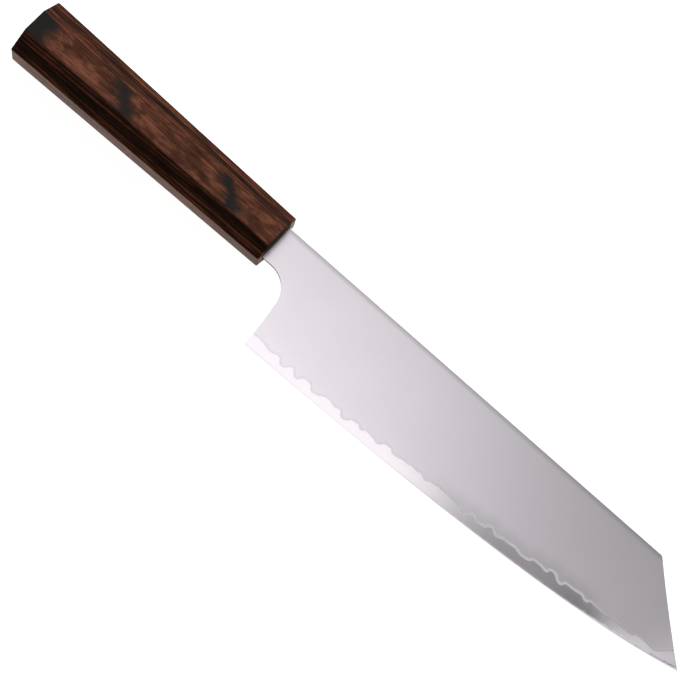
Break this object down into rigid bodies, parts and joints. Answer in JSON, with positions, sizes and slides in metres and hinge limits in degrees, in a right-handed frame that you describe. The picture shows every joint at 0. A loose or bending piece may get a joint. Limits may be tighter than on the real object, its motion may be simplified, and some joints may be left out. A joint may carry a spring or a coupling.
{
  "type": "kitchen knife",
  "caption": "Kitchen knife with a clipped point: clad blade with a bare wavy core band at the edge, its hidden tang glued in a tapered octagonal handle of dyed veneers",
  "frame": {"origin": "middle of the handle's front end, on the blade's mid-plane", "axes": "+X from the handle to the point, +Y from the edge to the spine, +Z out of the blade's right face"},
  "size_m": [0.3407, 0.0511, 0.021],
  "materials": {
    "core_steel": "hard core steel, fine polish along the edge",
    "cladding_steel": "soft stainless outer layer, even satin",
    "dyed_veneer": "resin-bonded wood veneers dyed red-brown and near black, polished",
    "adhesive": "cured dark epoxy, matt"
  },
  "bodies": {
    "root": {"core_steel": "core_steel", "cladding_right": "cladding_steel", "cladding_left": "cladding_steel", "tang_adhesive": "adhesive", "veneer_01": "dyed_veneer", "veneer_02": "dyed_veneer", "veneer_03": "dyed_veneer", "veneer_04": "dyed_veneer", "veneer_05": "dyed_veneer", "veneer_06": "dyed_veneer", "veneer_07": "dyed_veneer", "veneer_08": "dyed_veneer", "veneer_09": "dyed_veneer", "veneer_10": "dyed_veneer", "veneer_11": "dyed_veneer", "veneer_12": "dyed_veneer", "veneer_13": "dyed_veneer", "veneer_14": "dyed_veneer", "veneer_15": "dyed_veneer", "veneer_16": "dyed_veneer", "veneer_17": "dyed_veneer", "veneer_18": "dyed_veneer", "veneer_19": "dyed_veneer", "veneer_20": "dyed_veneer", "veneer_21": "dyed_veneer", "veneer_22": "dyed_veneer", "veneer_23": "dyed_veneer", "veneer_24": "dyed_veneer", "veneer_25": "dyed_veneer"}
  },
  "joints": []
}
